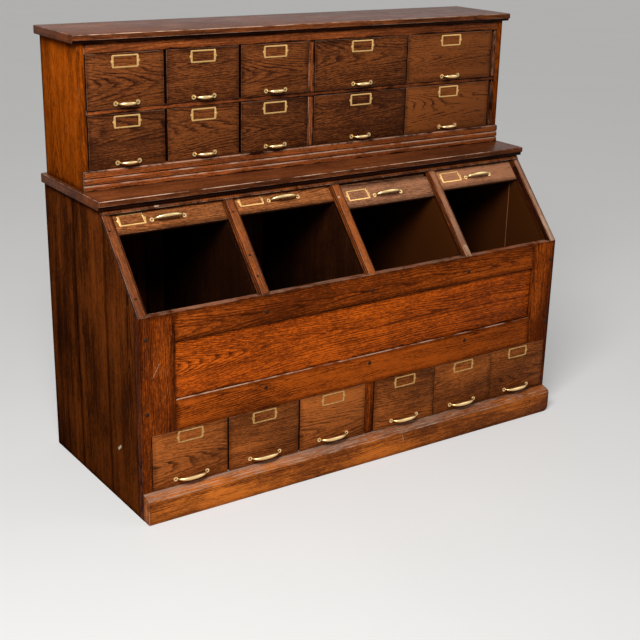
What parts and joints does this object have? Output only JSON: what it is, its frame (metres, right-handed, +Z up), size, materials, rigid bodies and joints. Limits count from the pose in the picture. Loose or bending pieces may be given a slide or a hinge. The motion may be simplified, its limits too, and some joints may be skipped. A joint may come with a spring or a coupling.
{
  "type": "parts cabinet",
  "caption": "Oak parts cabinet: slant-front bins with sliding two-leaf lids over a bank of small drawers, a counter, and an upper case of drawers with brass pulls and card holders.",
  "frame": {"origin": "on the floor, under the middle of the cabinet's bounding box", "axes": "+X to the right across the front, +Y from the front to the back, +Z up"},
  "size_m": [1.448, 0.593, 1.2145],
  "materials": {
    "oak": "aged oil and varnish, satin",
    "brass": "aged, rubbed bright on the grips"
  },
  "bodies": {
    "cabinet": {"bin_partitions": "oak", "cornice": "oak", "counter_top": "oak", "drawer_bay": "oak", "front_frame": "oak", "front_panel": "oak", "lower_back": "oak", "lower_side_left": "oak", "lower_side_right": "oak", "plinth": "oak", "slope_strips": "oak", "upper_carcass": "oak", "upper_frame": "oak", "upper_moulding": "oak", "upper_shell": "oak"},
    "lower_drawer_1": {"lower_drawer_1": "oak", "lower_drawer_1_brass": "brass"},
    "lower_drawer_2": {"lower_drawer_2": "oak", "lower_drawer_2_brass": "brass"},
    "lower_drawer_3": {"lower_drawer_3": "oak", "lower_drawer_3_brass": "brass"},
    "lower_drawer_4": {"lower_drawer_4": "oak", "lower_drawer_4_brass": "brass"},
    "lower_drawer_5": {"lower_drawer_5": "oak", "lower_drawer_5_brass": "brass"},
    "lower_drawer_6": {"lower_drawer_6": "oak", "lower_drawer_6_brass": "brass"},
    "upper_drawer_1": {"upper_drawer_1": "oak", "upper_drawer_1_brass": "brass"},
    "upper_drawer_2": {"upper_drawer_2": "oak", "upper_drawer_2_brass": "brass"},
    "upper_drawer_3": {"upper_drawer_3": "oak", "upper_drawer_3_brass": "brass"},
    "upper_drawer_4": {"upper_drawer_4": "oak", "upper_drawer_4_brass": "brass"},
    "upper_drawer_5": {"upper_drawer_5": "oak", "upper_drawer_5_brass": "brass"},
    "upper_drawer_6": {"upper_drawer_6": "oak", "upper_drawer_6_brass": "brass"},
    "upper_drawer_7": {"upper_drawer_7": "oak", "upper_drawer_7_brass": "brass"},
    "upper_drawer_8": {"upper_drawer_8": "oak", "upper_drawer_8_brass": "brass"},
    "upper_drawer_9": {"upper_drawer_9": "oak", "upper_drawer_9_brass": "brass"},
    "upper_drawer_10": {"upper_drawer_10": "oak", "upper_drawer_10_brass": "brass"},
    "lid_1": {"lid_1_board": "oak", "lid_1_brass": "brass"},
    "lid_1_leaf": {"lid_1_leaf": "oak"},
    "lid_2": {"lid_2_board": "oak", "lid_2_brass": "brass"},
    "lid_2_leaf": {"lid_2_leaf": "oak"},
    "lid_3": {"lid_3_board": "oak", "lid_3_brass": "brass"},
    "lid_3_leaf": {"lid_3_leaf": "oak"},
    "lid_4": {"lid_4_board": "oak", "lid_4_brass": "brass"},
    "lid_4_leaf": {"lid_4_leaf": "oak"}
  },
  "joints": [
    {"name": "lower_drawer_1_slide", "type": "slide", "parent": "cabinet", "child": "lower_drawer_1", "axis": [0, -1, 0], "range_m": [0, 0.43]},
    {"name": "lower_drawer_2_slide", "type": "slide", "parent": "cabinet", "child": "lower_drawer_2", "axis": [0, -1, 0], "range_m": [0, 0.43]},
    {"name": "lower_drawer_3_slide", "type": "slide", "parent": "cabinet", "child": "lower_drawer_3", "axis": [0, -1, 0], "range_m": [0, 0.43]},
    {"name": "lower_drawer_4_slide", "type": "slide", "parent": "cabinet", "child": "lower_drawer_4", "axis": [0, -1, 0], "range_m": [-0.002, 0.428]},
    {"name": "lower_drawer_5_slide", "type": "slide", "parent": "cabinet", "child": "lower_drawer_5", "axis": [0, -1, 0], "range_m": [-0.002, 0.428]},
    {"name": "lower_drawer_6_slide", "type": "slide", "parent": "cabinet", "child": "lower_drawer_6", "axis": [0, -1, 0], "range_m": [0, 0.43]},
    {"name": "upper_drawer_1_slide", "type": "slide", "parent": "cabinet", "child": "upper_drawer_1", "axis": [0, -1, 0], "range_m": [0, 0.17]},
    {"name": "upper_drawer_2_slide", "type": "slide", "parent": "cabinet", "child": "upper_drawer_2", "axis": [0, -1, 0], "range_m": [0, 0.17]},
    {"name": "upper_drawer_3_slide", "type": "slide", "parent": "cabinet", "child": "upper_drawer_3", "axis": [0, -1, 0], "range_m": [0, 0.17]},
    {"name": "upper_drawer_4_slide", "type": "slide", "parent": "cabinet", "child": "upper_drawer_4", "axis": [0, -1, 0], "range_m": [0, 0.17]},
    {"name": "upper_drawer_5_slide", "type": "slide", "parent": "cabinet", "child": "upper_drawer_5", "axis": [0, -1, 0], "range_m": [0, 0.17]},
    {"name": "upper_drawer_6_slide", "type": "slide", "parent": "cabinet", "child": "upper_drawer_6", "axis": [0, -1, 0], "range_m": [0, 0.17]},
    {"name": "upper_drawer_7_slide", "type": "slide", "parent": "cabinet", "child": "upper_drawer_7", "axis": [0, -1, 0], "range_m": [0, 0.17]},
    {"name": "upper_drawer_8_slide", "type": "slide", "parent": "cabinet", "child": "upper_drawer_8", "axis": [0, -1, 0], "range_m": [0, 0.17]},
    {"name": "upper_drawer_9_slide", "type": "slide", "parent": "cabinet", "child": "upper_drawer_9", "axis": [0, -1, 0], "range_m": [0, 0.17]},
    {"name": "upper_drawer_10_slide", "type": "slide", "parent": "cabinet", "child": "upper_drawer_10", "axis": [0, -1, 0], "range_m": [0, 0.17]},
    {"name": "lid_1_slide", "type": "slide", "parent": "cabinet", "child": "lid_1", "axis": [0, -0.6626, -0.749], "range_m": [-0.008, 0.2201]},
    {"name": "lid_1_leaf_hinge", "type": "hinge", "parent": "lid_1", "child": "lid_1_leaf", "pos_m": [-0.518, -0.04744, 0.77276], "axis": [1, 0, 0], "range_deg": [-1.94, 50.76]},
    {"name": "lid_2_slide", "type": "slide", "parent": "cabinet", "child": "lid_2", "axis": [0, -0.6626, -0.749], "range_m": [-0.0005, 0.2276]},
    {"name": "lid_2_leaf_hinge", "type": "hinge", "parent": "lid_2", "child": "lid_2_leaf", "pos_m": [-0.166, -0.04247, 0.77838], "axis": [1, 0, 0], "range_deg": [-0.21, 52.48]},
    {"name": "lid_3_slide", "type": "slide", "parent": "cabinet", "child": "lid_3", "axis": [0, -0.6626, -0.749], "range_m": [-0.0305, 0.1976]},
    {"name": "lid_3_leaf_hinge", "type": "hinge", "parent": "lid_3", "child": "lid_3_leaf", "pos_m": [0.184, -0.06235, 0.75591], "axis": [1, 0, 0], "range_deg": [-7.12, 45.58]},
    {"name": "lid_4_slide", "type": "slide", "parent": "cabinet", "child": "lid_4", "axis": [0, -0.6626, -0.749], "range_m": [-0.016, 0.2121]},
    {"name": "lid_4_leaf_hinge", "type": "hinge", "parent": "lid_4", "child": "lid_4_leaf", "pos_m": [0.528, -0.05274, 0.76677], "axis": [1, 0, 0], "range_deg": [-3.78, 48.92]}
  ],
  "couplings": [
    {"joint": "lid_1_leaf_hinge", "follows": "lid_1_slide", "rad_per_m": 4.0172},
    {"joint": "lid_2_leaf_hinge", "follows": "lid_2_slide", "rad_per_m": 4.0172},
    {"joint": "lid_3_leaf_hinge", "follows": "lid_3_slide", "rad_per_m": 4.0172},
    {"joint": "lid_4_leaf_hinge", "follows": "lid_4_slide", "rad_per_m": 4.0172}
  ]
}
